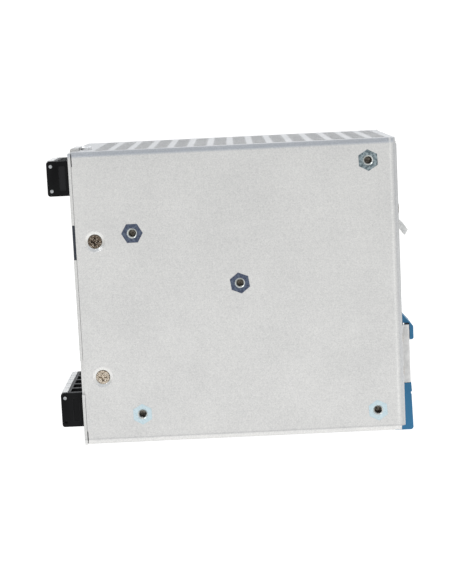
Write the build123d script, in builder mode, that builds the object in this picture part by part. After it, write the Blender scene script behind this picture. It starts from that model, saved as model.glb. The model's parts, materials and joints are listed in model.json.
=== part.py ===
from build123d import *
import os

# A metal-cased power supply that clips onto a 35 mm top-hat rail.
# Frame: +Z up, the terminals face -Y, and the rail lies against the rear wall at Y = 0.
# The origin is on the rail's centre line, in the plane where the rail's flanges seat.

# ---------------------------------------------------------------- driving dimensions (mm)
CASE_W = 85.5  # across X
CASE_H = 125.2  # along Z
CASE_D = 136.4  # along Y, front edge of the side walls to the rear wall
RAIL_HEIGHT = 63.9  # rail centre line above the case's bottom
SHEET = 1.5  # folded aluminium chassis and cover
BEND_R = 2.3  # outer radius of the chassis bends

SIDE = CASE_W / 2
TOP = CASE_H - RAIL_HEIGHT
BOTTOM = -RAIL_HEIGHT
MID_Z = (TOP + BOTTOM) / 2
FRONT = -CASE_D
INNER_SIDE = SIDE - SHEET

# front panel
PANEL_T = 1.2
PANEL_GAP = 0.15  # shadow gap in front of the side wall
PANEL_BACK = FRONT - PANEL_GAP
PANEL_FACE = PANEL_BACK - PANEL_T
PANEL_W = 85.2
TAB_T = 1.2
TAB_REAR = FRONT + 13.4
TAB_TOP = 23.4  # height of the upper side tab's centre
TAB_BOTTOM = -34.5
TAB_H = 13.1
NOTCH_H = 14.7  # the panel edge is cut back beside each tab
TAB_SCREW_Y = FRONT + 8.0
LIP_X = 21.5  # the lip that laps the top sheet
LIP_W = 19.0
LIP_REAR = FRONT + 2.2

# vents, the same grid in the top and the bottom
VENT_COLUMNS = 15
VENT_ROWS = 15
VENT_PITCH_Y = 8.386
VENT_PITCH_X = 5.0
VENT_LENGTH = 6.0
VENT_WIDTH = 2.8
VENT_CENTRE_Y = -65.5

# flush hex standoffs in the right wall, (Y, Z), and the turn of each hexagon
STANDOFFS = [(-112.6, 26.3), (-68.2, 3.1), (-12.3, 52.3), (-112.4, -51.5), (-11.7, -54.5)]
STANDOFF_TURNS = [30, 8, 2, 0, 4]
HEX_FLATS = 7.9
BARREL_R = 3.2
THREAD_R = 1.65  # M4 thread, at its minor diameter
MOUTH_R = 2.2  # the countersunk mouth of the thread
STANDOFF_LENGTH = 7.5

# screws
HEAD_R = 2.8
HEAD_RIM = 0.2  # the straight edge of a countersunk head
HEAD_SINK = 0.35  # depth of the dimple's flared mouth
HEAD_DEPTH = HEAD_SINK + 0.05  # how far a countersunk head lies below the sheet's face
SEAT_R = HEAD_R + HEAD_RIM + HEAD_DEPTH + 0.05  # the countersink's radius at the sheet's face
DIMPLE_R = 4.5
SHANK_R = 1.7
CLEAR_R = 1.75

# boards
BOARD_T = 1.6
BOARD_BACK = SIDE - STANDOFF_LENGTH
BOARD_FACE = BOARD_BACK - BOARD_T
BOARD_FRONT = -124.0
BOARD_REAR = -3.0
BOARD_LOW = -60.0
BOARD_HIGH = 58.0

# terminal blocks
PITCH = 9.2
BLOCK_FACE = -147.2
BLOCK_REAR = -129.0
BLOCK_H = 14.8
END_T = 1.5
END_R = 1.2
INPUT_RIGHT = 38.5  # the housings' right ends, inside the end plates
OUTPUT_RIGHT = 38.7
INPUT_LOW = 43.1
OUTPUT_LOW = -56.1
INPUT_POLES = 3
OUTPUT_POLES = 5
WELL_W = 7.2
WELL_FRONT = BLOCK_FACE + 4.1
WELL_REAR = BLOCK_FACE + 9.2
SCREW_BORE_R = 2.35
CLAMP_SCREW_R = 2.0
ROD_R = 0.7
ROD_INSET = 1.8
ROD_FROM_EDGE = 2.2

# rail clip
RAIL_EDGE = 17.5  # half of the 35 mm rail
FLANGE_T = 1.0
STROKE = 5.0  # travel of the latch
LATCH_HALF = 11.0
BRACKET_HALF = 14.0
BRACKET_TOP = -23.1
BRACKET_LOW = -49.0
BRACKET_FACE = 5.9
BRACKET_T = 1.5
FOOT_LOW = -70.4

os.makedirs("parts", exist_ok=True)


def write(builder, name):
    """Label a finished piece and write it under its own name."""
    builder.part.label = name
    export_step(builder.part, f"parts/{name}.step")


def on_right(y, z, depth=0.0):
    """A place on the right wall, facing out."""
    return Location((SIDE - depth, y, z), (0, 90, 0))


def on_left(y, z, depth=0.0):
    """A place on the left cover, facing out."""
    return Location((depth - SIDE, y, z), (0, -90, 0))


def on_rear(x, z, out=0.0):
    """A place on the rear wall, facing out."""
    return Location((x, out, z), (-90, 0, 0))


def at_front(x, y, z):
    """A place that faces forward."""
    return Location((x, y, z), (90, 0, 0))


def block(x_low, x_high, y_low, y_high, z_low, z_high, mode=Mode.ADD):
    """A box between two corners, for use inside a part block."""
    centre = ((x_low + x_high) / 2, (y_low + y_high) / 2, (z_low + z_high) / 2)
    with Locations(centre):
        Box(x_high - x_low, y_high - y_low, z_high - z_low, mode=mode)


# ---------------------------------------------------------------- screws used many times
def countersunk_screw(length):
    """A cross-recess countersunk screw, head up, with the head's rim at the origin."""
    cone = HEAD_R - SHANK_R
    with BuildPart() as screw:
        with BuildSketch(Plane.XZ):
            with BuildLine():
                Polyline(
                    (0, 0), (HEAD_R, 0), (HEAD_R, -HEAD_RIM), (SHANK_R, -HEAD_RIM - cone),
                    (SHANK_R, 0.3 - length), (SHANK_R - 0.3, -length), (0, -length), close=True,
                )
            make_face()
        revolve(axis=Axis.Z)
        with BuildSketch(Plane.XY):
            Rectangle(3.5, 0.85)
            Rectangle(0.85, 3.5)
            Circle(0.95)
        extrude(amount=-1.4, taper=8, mode=Mode.SUBTRACT)
    return screw.part


def pan_screw(head_r, head_h, shank_r, length):
    """A cross-recess pan screw, head up, with the underside of its head at the origin."""
    with BuildPart() as screw:
        Cylinder(head_r, head_h, align=(Align.CENTER, Align.CENTER, Align.MIN))
        fillet(screw.edges().sort_by(Axis.Z)[-1], head_h * 0.45)
        Cylinder(shank_r, length, align=(Align.CENTER, Align.CENTER, Align.MAX))
        with BuildSketch(Plane.XY.offset(head_h)):
            Rectangle(head_r * 1.15, head_r * 0.3)
            Rectangle(head_r * 0.3, head_r * 1.15)
        extrude(amount=-head_h * 0.6, taper=6, mode=Mode.SUBTRACT)
    return screw.part


def screw_seat():
    """A dimple, a countersink and a clearance hole, at each active location."""
    Cone(SEAT_R - HEAD_SINK, DIMPLE_R, HEAD_SINK, align=(Align.CENTER, Align.CENTER, Align.MAX),
         mode=Mode.SUBTRACT)
    CounterSinkHole(CLEAR_R, SEAT_R, depth=4, counter_sink_angle=90)


# ---------------------------------------------------------------- casing
TAB_SCREWS = [(TAB_SCREW_Y, TAB_TOP + 0.1), (TAB_SCREW_Y, TAB_BOTTOM - 0.1)]
COVER_SCREWS = [(y, z) for y in (-112.0, -66.0, -20.0) for z in (TOP - 6.0, BOTTOM + 6.0)]
HOOK_SCREWS = [(-15.0, 29.0), (15.0, 29.0)]
BRACKET_SCREWS = [(x, z) for x in (-17.8, 17.8) for z in (-28.0, -42.5)]
SMALL_SHANK_R = 1.4
SMALL_CLEAR_R = 1.45
CORNER_NOTCH_W = 5.0  # the bend relief at the top rear corner
CORNER_NOTCH_H = 2.7
SLIT_TOP = 0.35  # height of the slit between the top sheet and the rear wall
TOP_SHORT = 0.7  # the top sheet stops this far before the rear wall's outer face
SLIT_BOTTOM = 2.2
BOTTOM_SHORT = 1.8
EASE = 0.3
EASE_H = 6.0
COVER_LIP = 11.0

with BuildPart() as chassis_shell:
    block(-INNER_SIDE, SIDE, FRONT, 0, BOTTOM, TOP)
    right_edges = chassis_shell.edges().filter_by(Axis.Y).group_by(Axis.X)[-1]
    rear_edge = chassis_shell.edges().filter_by(Axis.Z).group_by(Axis.X)[-1].sort_by(Axis.Y)[-1]
    fillet(right_edges + [rear_edge], BEND_R)
    block(-SIDE, INNER_SIDE, FRONT - 1, -SHEET, BOTTOM + SHEET, TOP - SHEET, mode=Mode.SUBTRACT)
    # lips behind the left cover
    for lip_low, lip_high in ((TOP - COVER_LIP, TOP - SHEET), (BOTTOM + SHEET, BOTTOM + COVER_LIP)):
        block(-INNER_SIDE, -INNER_SIDE + SHEET, FRONT + 16, -6, lip_low, lip_high)
    # between the rear wall and the top sheet: a notch at the bent corner and a narrow slit
    for cut_left, cut_low in ((SIDE - CORNER_NOTCH_W, TOP - CORNER_NOTCH_H), (-SIDE, TOP - SHEET - SLIT_TOP)):
        block(cut_left, SIDE + 1, -TOP_SHORT, 1, cut_low, TOP + 1, mode=Mode.SUBTRACT)
        block(cut_left, INNER_SIDE - 0.4, -SHEET - 0.1, 1, cut_low, TOP - SHEET, mode=Mode.SUBTRACT)
    # the bottom sheet stops short of the rear wall
    block(-SIDE, SIDE + 1, -BOTTOM_SHORT, 1, BOTTOM - 1, BOTTOM + SLIT_BOTTOM, mode=Mode.SUBTRACT)
    # the right wall's front edge is eased at its two corners
    for ease_low, ease_high in ((TOP - EASE_H, TOP + 1), (BOTTOM - 1, BOTTOM + EASE_H)):
        block(INNER_SIDE, SIDE + 1, FRONT - 1, FRONT + EASE, ease_low, ease_high, mode=Mode.SUBTRACT)
    with BuildSketch(Plane.XY.offset(TOP + 1)):
        with Locations((0, VENT_CENTRE_Y)):
            with GridLocations(VENT_PITCH_X, VENT_PITCH_Y, VENT_ROWS, VENT_COLUMNS):
                SlotOverall(VENT_LENGTH, VENT_WIDTH, rotation=90)
    extrude(amount=-CASE_H - 2, mode=Mode.SUBTRACT)
    with Locations(*[on_right(y, z) for y, z in TAB_SCREWS]):
        screw_seat()
    for (y, z), turn in zip(STANDOFFS, STANDOFF_TURNS):
        with BuildSketch(Plane.YZ.offset(SIDE + 1)):
            with Locations((y, z)):
                RegularPolygon(HEX_FLATS / 2, 6, major_radius=False, rotation=30 + turn)
        extrude(amount=-SHEET - 2, mode=Mode.SUBTRACT)
    with Locations(*[on_left(y, z) for y, z in COVER_SCREWS]):
        screw_seat()
    with Locations(*[on_rear(x, z, 1) for x, z in HOOK_SCREWS + BRACKET_SCREWS]):
        Hole(SMALL_CLEAR_R, depth=SHEET + 2)
    with Locations((LIP_X, LIP_REAR + 2.6, TOP + 1)):
        Hole(SMALL_CLEAR_R, depth=SHEET + 2)
write(chassis_shell, "chassis_shell")

with BuildPart() as left_cover:
    block(-SIDE, -INNER_SIDE, FRONT, 0, BOTTOM, TOP)
    chamfer(left_cover.faces().sort_by(Axis.X)[0].edges(), 0.25)
    with Locations(*[on_left(y, z) for y, z in COVER_SCREWS + TAB_SCREWS]):
        screw_seat()
write(left_cover, "left_cover")

LED_PLACE = (-26.0, -43.0)
TRIMMER_PLACE = (-26.0, -53.0)
OPENING_GAP = 0.25
INPUT_LEFT = INPUT_RIGHT - INPUT_POLES * PITCH
OUTPUT_LEFT = OUTPUT_RIGHT - OUTPUT_POLES * PITCH
BLOCKS = {
    "input": (INPUT_LEFT, INPUT_RIGHT, INPUT_LOW, INPUT_POLES),
    "output": (OUTPUT_LEFT, OUTPUT_RIGHT, OUTPUT_LOW, OUTPUT_POLES),
}

with BuildPart() as front_panel:
    with BuildSketch(Plane.XZ.offset(-PANEL_BACK)):
        with Locations((0, MID_Z - 0.1)):
            Rectangle(PANEL_W, CASE_H - 0.6)
        with Locations((LIP_X, TOP)):
            Rectangle(LIP_W, 2 * PANEL_T)
        for side in (-1, 1):
            for tab_z in (TAB_TOP, TAB_BOTTOM):
                with Locations((side * (INNER_SIDE + 2), tab_z)):
                    Rectangle(4, NOTCH_H, mode=Mode.SUBTRACT)
        for left, right, low, _ in BLOCKS.values():
            width = right - left + 2 * (END_T + OPENING_GAP)
            with Locations(((left + right) / 2, low + BLOCK_H / 2)):
                Rectangle(width, BLOCK_H + 2 * OPENING_GAP, mode=Mode.SUBTRACT)
        with Locations(LED_PLACE):
            Circle(1.65, mode=Mode.SUBTRACT)
        with Locations(TRIMMER_PLACE):
            Circle(2.6, mode=Mode.SUBTRACT)
    extrude(amount=PANEL_T)
    for side in (-1, 1):
        for tab_z in (TAB_TOP, TAB_BOTTOM):
            x_outer = side * INNER_SIDE
            x_inner = side * (INNER_SIDE - TAB_T)
            block(min(x_outer, x_inner), max(x_outer, x_inner), PANEL_FACE, TAB_REAR,
                  tab_z - TAB_H / 2, tab_z + TAB_H / 2)
    block(LIP_X - LIP_W / 2, LIP_X + LIP_W / 2, PANEL_FACE, LIP_REAR, TOP, TOP + PANEL_T)
    lip_bend = front_panel.edges().filter_by(Axis.X).group_by(Axis.Z)[-1].sort_by(Axis.Y)[0]
    fillet(lip_bend, 1.0)
    with Locations(*[on_right(y, z) for y, z in TAB_SCREWS]):
        screw_seat()
    with Locations(*[on_left(y, z) for y, z in TAB_SCREWS]):
        screw_seat()
write(front_panel, "front_panel")

PANEL_SCREW_LENGTH = 6.0
LIP_SCREW_LENGTH = 2.8
panel_screw = countersunk_screw(PANEL_SCREW_LENGTH)
with BuildPart() as panel_screws:
    with Locations(*[on_right(y, z, HEAD_DEPTH) for y, z in TAB_SCREWS]):
        add(panel_screw)
    with Locations(*[on_left(y, z, HEAD_DEPTH) for y, z in TAB_SCREWS]):
        add(panel_screw)
    with Locations((LIP_X, LIP_REAR + 2.6, TOP)):
        add(pan_screw(2.3, 1.5, SMALL_SHANK_R, LIP_SCREW_LENGTH))
write(panel_screws, "panel_screws")

with BuildPart() as cover_screws:
    with Locations(*[on_left(y, z, HEAD_DEPTH) for y, z in COVER_SCREWS]):
        add(panel_screw)
write(cover_screws, "cover_screws")

HEX_PLAY = 0.03
with BuildPart() as clinch_standoffs:
    for (y, z), turn in zip(STANDOFFS, STANDOFF_TURNS):
        with BuildSketch(Plane.YZ.offset(SIDE)):
            with Locations((y, z)):
                RegularPolygon(HEX_FLATS / 2 - HEX_PLAY, 6, major_radius=False, rotation=30 + turn)
        extrude(amount=-SHEET)
        with BuildSketch(Plane.YZ.offset(SIDE - SHEET)):
            with Locations((y, z)):
                Circle(BARREL_R)
        extrude(amount=SHEET - STANDOFF_LENGTH)
    with Locations(*[on_right(y, z) for y, z in STANDOFFS]):
        CounterSinkHole(THREAD_R, MOUTH_R, depth=STANDOFF_LENGTH + 1, counter_sink_angle=90)
write(clinch_standoffs, "clinch_standoffs")

with BuildPart() as insulation_sheet:
    block(INNER_SIDE - 0.6, INNER_SIDE - 0.2, -121.0, BOARD_REAR, BOARD_LOW - 1, BOARD_HIGH + 1)
    with Locations(*[on_right(y, z) for y, z in STANDOFFS]):
        Hole(BARREL_R + 0.4, depth=STANDOFF_LENGTH)
write(insulation_sheet, "insulation_sheet")

# ---------------------------------------------------------------- boards
with BuildPart() as main_board:
    block(BOARD_FACE, BOARD_BACK, BOARD_FRONT, BOARD_REAR, BOARD_LOW, BOARD_HIGH)
    with Locations(*[on_right(y, z) for y, z in STANDOFFS]):
        Hole(2.2, depth=STANDOFF_LENGTH + BOARD_T + 1)
write(main_board, "main_board")

with BuildPart() as board_screws:
    with Locations(*[Location((BOARD_FACE, y, z), (0, -90, 0)) for y, z in STANDOFFS]):
        add(pan_screw(3.4, 2.4, THREAD_R - 0.05, BOARD_T + 3.5))
write(board_screws, "board_screws")

TERMINAL_BOARD_FACE = -128.8
with BuildPart() as terminal_board:
    board_rear = TERMINAL_BOARD_FACE + BOARD_T
    block(-38, 39.6, TERMINAL_BOARD_FACE, board_rear, -58, 58)
    # notches that clear the screws of the panel's tabs
    for side in (-1, 1):
        for _, z in TAB_SCREWS:
            block(side * 38 - 3.0, side * 38 + 3.0, TERMINAL_BOARD_FACE - 1, board_rear + 1,
                  z - 4, z + 4, mode=Mode.SUBTRACT)
    for left, right, low, poles in BLOCKS.values():
        for pole in range(poles):
            with Locations(at_front(left + (pole + 0.5) * PITCH, TERMINAL_BOARD_FACE,
                                    low + BLOCK_H / 2)):
                Box(3.4, 1.2, 8, mode=Mode.SUBTRACT)
write(terminal_board, "terminal_board")

# ---------------------------------------------------------------- terminal blocks
FRAME_H = 6.0
FRAME_FRONT = BLOCK_FACE + 3.4
FRAME_WALL = 1.5
FRAME_SIDE = 0.5
CONTACT_T = 0.9
TAIL_W = 3.0
TAIL_T = 0.8
FRAME_PLAY = 0.05
HOUSING_CHAMFER = 0.4
MARKER_FRONT = BLOCK_FACE + HOUSING_CHAMFER
MARKER_REAR = BLOCK_FACE + 2.9
MARKER_SINK = 0.4
GROOVE_W = 0.6
GROOVE_DEPTH = 0.9
MARKER_RISE = 0.25


def pole_centres(left, poles):
    """The X of each pole of a block."""
    return [left + (pole + 0.5) * PITCH for pole in range(poles)]


def rod_heights(name, low):
    """The heights of a block's through rods: two in the input block, one in the output block."""
    top_rod = low + BLOCK_H - ROD_FROM_EDGE
    return [top_rod, low + ROD_FROM_EDGE] if name == "input" else [top_rod]


def terminal_housing(name, left, right, low, poles):
    """One moulded housing with a vertical wire well and a screw bore for each pole."""
    high = low + BLOCK_H
    middle = low + BLOCK_H / 2
    centres = pole_centres(left, poles)
    with BuildPart() as housing:
        with BuildSketch(Plane.YZ.offset(left)):
            with BuildLine():
                Polyline(
                    (BLOCK_FACE, low + HOUSING_CHAMFER), (WELL_FRONT, low), (BLOCK_REAR, low),
                    (BLOCK_REAR, high), (MARKER_REAR, high), (MARKER_REAR, high - MARKER_SINK),
                    (MARKER_FRONT, high - MARKER_SINK),
                    (BLOCK_FACE, high - MARKER_SINK - HOUSING_CHAMFER), close=True,
                )
            make_face()
        extrude(amount=right - left)
        for x in centres:
            half = WELL_W / 2
            block(x - half, x + half, WELL_FRONT, WELL_REAR, low - 1, high + 1, mode=Mode.SUBTRACT)
            block(x - half, x + half, FRAME_FRONT - FRAME_PLAY, WELL_REAR,
                  middle - FRAME_H / 2 - FRAME_PLAY, middle + FRAME_H / 2 + FRAME_PLAY,
                  mode=Mode.SUBTRACT)
            block(x - TAIL_W / 2 - FRAME_PLAY, x + TAIL_W / 2 + FRAME_PLAY, WELL_REAR - 1,
                  BLOCK_REAR + 1, middle - TAIL_T / 2 - FRAME_PLAY, middle + TAIL_T / 2 + FRAME_PLAY,
                  mode=Mode.SUBTRACT)
        with Locations(*[at_front(x, BLOCK_FACE, middle) for x in centres]):
            CounterSinkHole(SCREW_BORE_R, SCREW_BORE_R + 0.5, depth=5)
        with Locations(*[Location((right, BLOCK_FACE + ROD_INSET, z), (0, 90, 0))
                         for z in rod_heights(name, low)]):
            Hole(ROD_R + FRAME_PLAY, depth=right - left + 1)
        # grooves between the poles on the front face
        for pole in range(1, poles):
            x = left + pole * PITCH
            block(x - GROOVE_W / 2, x + GROOVE_W / 2, BLOCK_FACE - 1, BLOCK_FACE + GROOVE_DEPTH,
                  low - 1, high - MARKER_SINK - 1.0, mode=Mode.SUBTRACT)
    return housing


def end_plates(name, left, right, low):
    """The two end plates of a block, with rounded front corners and a shallow recess."""
    high = low + BLOCK_H
    depth = BLOCK_REAR - BLOCK_FACE
    with BuildPart() as plates:
        for x_inner, outward in ((left, -1), (right, 1)):
            with BuildSketch(Plane.YZ.offset(x_inner)) as outline:
                with Locations((BLOCK_FACE + depth / 2, low + BLOCK_H / 2)):
                    Rectangle(depth, BLOCK_H)
                fillet(outline.vertices().group_by(Axis.X)[0], END_R)
            extrude(amount=outward * END_T)
            x_outer = x_inner + outward * END_T
            with BuildSketch(Plane.YZ.offset(x_outer)) as recess:
                with Locations((BLOCK_FACE + 6.4, low + BLOCK_H / 2)):
                    Rectangle(2.6, BLOCK_H - 4.6)
                fillet(recess.vertices(), 0.5)
            extrude(amount=-outward * 0.3, mode=Mode.SUBTRACT)
        with Locations(*[Location((right + END_T, BLOCK_FACE + ROD_INSET, z), (0, 90, 0))
                         for z in (low + ROD_FROM_EDGE, high - ROD_FROM_EDGE)]):
            Hole(ROD_R + FRAME_PLAY, depth=right - left + 2 * END_T + 1)
    return plates


for block_name, (left, right, low, poles) in BLOCKS.items():
    write(terminal_housing(block_name, left, right, low, poles), f"{block_name}_terminal_housing")
    write(end_plates(block_name, left, right, low), f"{block_name}_end_plates")

with BuildPart() as terminal_rods:
    for block_name, (left, right, low, _) in BLOCKS.items():
        length = right - left + 2 * END_T
        with Locations(*[Location((right + END_T + 0.15, BLOCK_FACE + ROD_INSET, z), (0, 90, 0))
                         for z in rod_heights(block_name, low)]):
            Cylinder(ROD_R, length + 0.3, align=(Align.CENTER, Align.CENTER, Align.MAX))
write(terminal_rods, "terminal_rods")

with BuildPart() as marker_strips:
    for left, right, low, _ in BLOCKS.values():
        high = low + BLOCK_H
        block(left, right, MARKER_FRONT, MARKER_REAR, high - MARKER_SINK, high + MARKER_RISE)
write(marker_strips, "marker_strips")

CONTACT_REAR = WELL_REAR
CONTACT_FRONT = CONTACT_REAR - CONTACT_T
with BuildPart() as terminal_clamps:
    for left, right, low, poles in BLOCKS.values():
        middle = low + BLOCK_H / 2
        for x in pole_centres(left, poles):
            half = WELL_W / 2 - FRAME_PLAY
            inner = half - FRAME_SIDE
            z_low = middle - FRAME_H / 2
            z_high = middle + FRAME_H / 2
            block(x - half, x + half, FRAME_FRONT, CONTACT_REAR, z_low, z_high)
            block(x - inner, x + inner, FRAME_FRONT + FRAME_WALL, CONTACT_FRONT, z_low - 1,
                  z_high + 1, mode=Mode.SUBTRACT)
            block(x - TAIL_W / 2, x + TAIL_W / 2, CONTACT_REAR - 0.1, TERMINAL_BOARD_FACE + 3.0,
                  middle - TAIL_T / 2, middle + TAIL_T / 2)
            with Locations(at_front(x, FRAME_FRONT, middle)):
                Hole(CLAMP_SCREW_R + 0.06, depth=FRAME_WALL + 0.1)
write(terminal_clamps, "terminal_clamps")

# each clamp screw turns in its frame and pushes a captive pressure plate towards the contact
SCREW_FACE = BLOCK_FACE + 0.9
PLATE_FACE = BLOCK_FACE + 5.0
PLATE_T = 0.8
PLATE_W = 5.8
PLATE_H = 5.4
TIP_R = 1.2
TIP_DEPTH = 0.45


def clamp_screw(x, z):
    """A headless clamp screw with a cross slot and a pilot tip, lying along Y."""
    with BuildPart() as screw:
        with Locations(at_front(x, SCREW_FACE, z)):
            Cylinder(CLAMP_SCREW_R, PLATE_FACE - 0.05 - SCREW_FACE,
                     align=(Align.CENTER, Align.CENTER, Align.MAX))
        chamfer(screw.edges().sort_by(Axis.Y)[0], 0.25)
        with Locations(at_front(x, PLATE_FACE - 0.06, z)):
            Cylinder(TIP_R, TIP_DEPTH, align=(Align.CENTER, Align.CENTER, Align.MAX))
        with Locations(at_front(x, SCREW_FACE, z)):
            Box(2 * CLAMP_SCREW_R + 1, 0.7, 1.8, mode=Mode.SUBTRACT)
            Box(0.7, 2.4, 1.8, mode=Mode.SUBTRACT)
    return screw


def clamp_plate(x, z):
    """A pressure plate with a pocket for the screw's tip."""
    with BuildPart() as plate:
        block(x - PLATE_W / 2, x + PLATE_W / 2, PLATE_FACE, PLATE_FACE + PLATE_T,
              z - PLATE_H / 2, z + PLATE_H / 2)
        fillet(plate.edges().filter_by(Axis.Y), 0.6)
        with Locations(at_front(x, PLATE_FACE, z)):
            Hole(TIP_R + 0.06, depth=TIP_DEPTH + 0.1)
    return plate


for block_name, (left, right, low, poles) in BLOCKS.items():
    for number, x in enumerate(pole_centres(left, poles), start=1):
        write(clamp_screw(x, low + BLOCK_H / 2), f"{block_name}_clamp_screw_{number}")
        write(clamp_plate(x, low + BLOCK_H / 2), f"{block_name}_clamp_plate_{number}")

# ---------------------------------------------------------------- status light and trimmer
LED_X, LED_Z = LED_PLACE
with BuildPart() as led_light_pipe:
    with Locations(at_front(LED_X, PANEL_FACE - 0.6, LED_Z)):
        Cylinder(1.5, TERMINAL_BOARD_FACE - PANEL_FACE + 0.6,
                 align=(Align.CENTER, Align.CENTER, Align.MAX))
    fillet(led_light_pipe.edges().sort_by(Axis.Y)[0], 0.7)
    with Locations(at_front(LED_X, PANEL_BACK + 0.2, LED_Z)):
        Cylinder(2.4, 1.0, align=(Align.CENTER, Align.CENTER, Align.MAX))
write(led_light_pipe, "led_light_pipe")

TRIM_X, TRIM_Z = TRIMMER_PLACE
TRIM_BODY_FACE = TERMINAL_BOARD_FACE - 5.0
TRIM_SHAFT_R = 1.6
TRIM_DISC_R = 2.3
with BuildPart() as trimmer_body:
    block(TRIM_X - 3.3, TRIM_X + 3.3, TRIM_BODY_FACE, TERMINAL_BOARD_FACE, TRIM_Z - 3.3, TRIM_Z + 3.3)
    chamfer(trimmer_body.faces().sort_by(Axis.Y)[0].edges(), 0.4)
    with Locations(at_front(TRIM_X, TRIM_BODY_FACE, TRIM_Z)):
        CounterBoreHole(TRIM_SHAFT_R + 0.05, TRIM_DISC_R + 0.05, 2.0, depth=4.0)
write(trimmer_body, "trimmer_body")

with BuildPart() as trimmer_rotor:
    with Locations(at_front(TRIM_X, PANEL_FACE + 0.5, TRIM_Z)):
        Cylinder(TRIM_DISC_R, TRIM_BODY_FACE + 1.9 - PANEL_FACE - 0.5,
                 align=(Align.CENTER, Align.CENTER, Align.MAX))
    with Locations(at_front(TRIM_X, TRIM_BODY_FACE + 1.8, TRIM_Z)):
        Cylinder(TRIM_SHAFT_R, 2.0, align=(Align.CENTER, Align.CENTER, Align.MAX))
    chamfer(trimmer_rotor.edges().sort_by(Axis.Y)[0], 0.3)
    with Locations(at_front(TRIM_X, PANEL_FACE + 0.5, TRIM_Z)):
        Box(3.6, 0.7, 2.0, mode=Mode.SUBTRACT)
        Box(0.7, 1.8, 2.0, mode=Mode.SUBTRACT)
write(trimmer_rotor, "trimmer_rotor")

# ---------------------------------------------------------------- rail clip
HOOK_T = 1.5
HOOK_HALF = 20.0
HOOK_LIP_LOW = 15.5
with BuildPart() as din_hook:
    # the plate that is screwed to the rear wall, its lower edge on the rail's upper edge
    block(-HOOK_HALF, HOOK_HALF, 0, HOOK_T, RAIL_EDGE + 0.1, 34)
    fillet(din_hook.edges().filter_by(Axis.Y).group_by(Axis.Z)[-1], 3.0)
    # two lips that step over the rail's flange
    lip_y = FLANGE_T + 0.1
    for x in (-11.0, 11.0):
        block(x - 4, x + 4, lip_y, lip_y + HOOK_T, HOOK_LIP_LOW, RAIL_EDGE + 4)
    # the middle tongue slants out and down, to lead the rail in
    with BuildSketch(Plane.YZ.offset(-5)):
        with BuildLine():
            Polyline(
                (0, 27.0), (HOOK_T, 27.0), (HOOK_T, 24.6), (3.2, 23.8), (5.2, 21.9), (7.6, 18.4),
                (6.2, 16.0), (3.6, 20.0), (2.6, 21.0), (0, 21.4), close=True,
            )
        make_face()
    extrude(amount=10)
    with Locations(*[on_rear(x, z, HOOK_T) for x, z in HOOK_SCREWS]):
        Hole(SMALL_CLEAR_R, depth=HOOK_T + 0.5)
write(din_hook, "din_hook")

STOP_LOW = -45.2
STOP_HIGH = -43.8
STOP_HALF = 2.6
with BuildPart() as din_bracket:
    # hat section: two ears on the rear wall, two side walls, one outer plate
    with BuildSketch(Plane.XY.offset(BRACKET_LOW)):
        with BuildLine():
            Polyline(
                (-21.5, 0), (-BRACKET_HALF + BRACKET_T, 0),
                (-BRACKET_HALF + BRACKET_T, BRACKET_FACE - BRACKET_T),
                (BRACKET_HALF - BRACKET_T, BRACKET_FACE - BRACKET_T), (BRACKET_HALF - BRACKET_T, 0),
                (21.5, 0), (21.5, 1.2), (BRACKET_HALF, 1.2), (BRACKET_HALF, BRACKET_FACE),
                (-BRACKET_HALF, BRACKET_FACE), (-BRACKET_HALF, 1.2), (-21.5, 1.2), close=True,
            )
        make_face()
    extrude(amount=BRACKET_TOP - BRACKET_LOW)
    outer_edges = din_bracket.edges().filter_by(Axis.Z).group_by(Axis.Y)[-1]
    fillet(outer_edges, 1.0)
    # the outer plate is notched from the top, where the latch's nose comes down
    notch_low = BRACKET_TOP - STROKE - 0.9
    block(-LATCH_HALF - 0.4, LATCH_HALF + 0.4, 2, 6, notch_low, BRACKET_TOP + 1, mode=Mode.SUBTRACT)
    # the tab that carries the spring and stops the latch
    block(-STOP_HALF, STOP_HALF, 0.5, BRACKET_FACE - BRACKET_T + 0.1, STOP_LOW, STOP_HIGH)
    with Locations(*[on_rear(x, z, 1.2) for x, z in BRACKET_SCREWS]):
        Hole(SMALL_CLEAR_R, depth=2)
write(din_bracket, "din_bracket")

with BuildPart() as clip_screws:
    with Locations(*[on_rear(x, z, HOOK_T) for x, z in HOOK_SCREWS]):
        add(pan_screw(2.7, 1.2, SMALL_SHANK_R, 6.0))
    with Locations(*[on_rear(x, z, 1.2) for x, z in BRACKET_SCREWS]):
        add(pan_screw(2.7, 1.2, SMALL_SHANK_R, 6.0))
write(clip_screws, "clip_screws")

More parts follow.
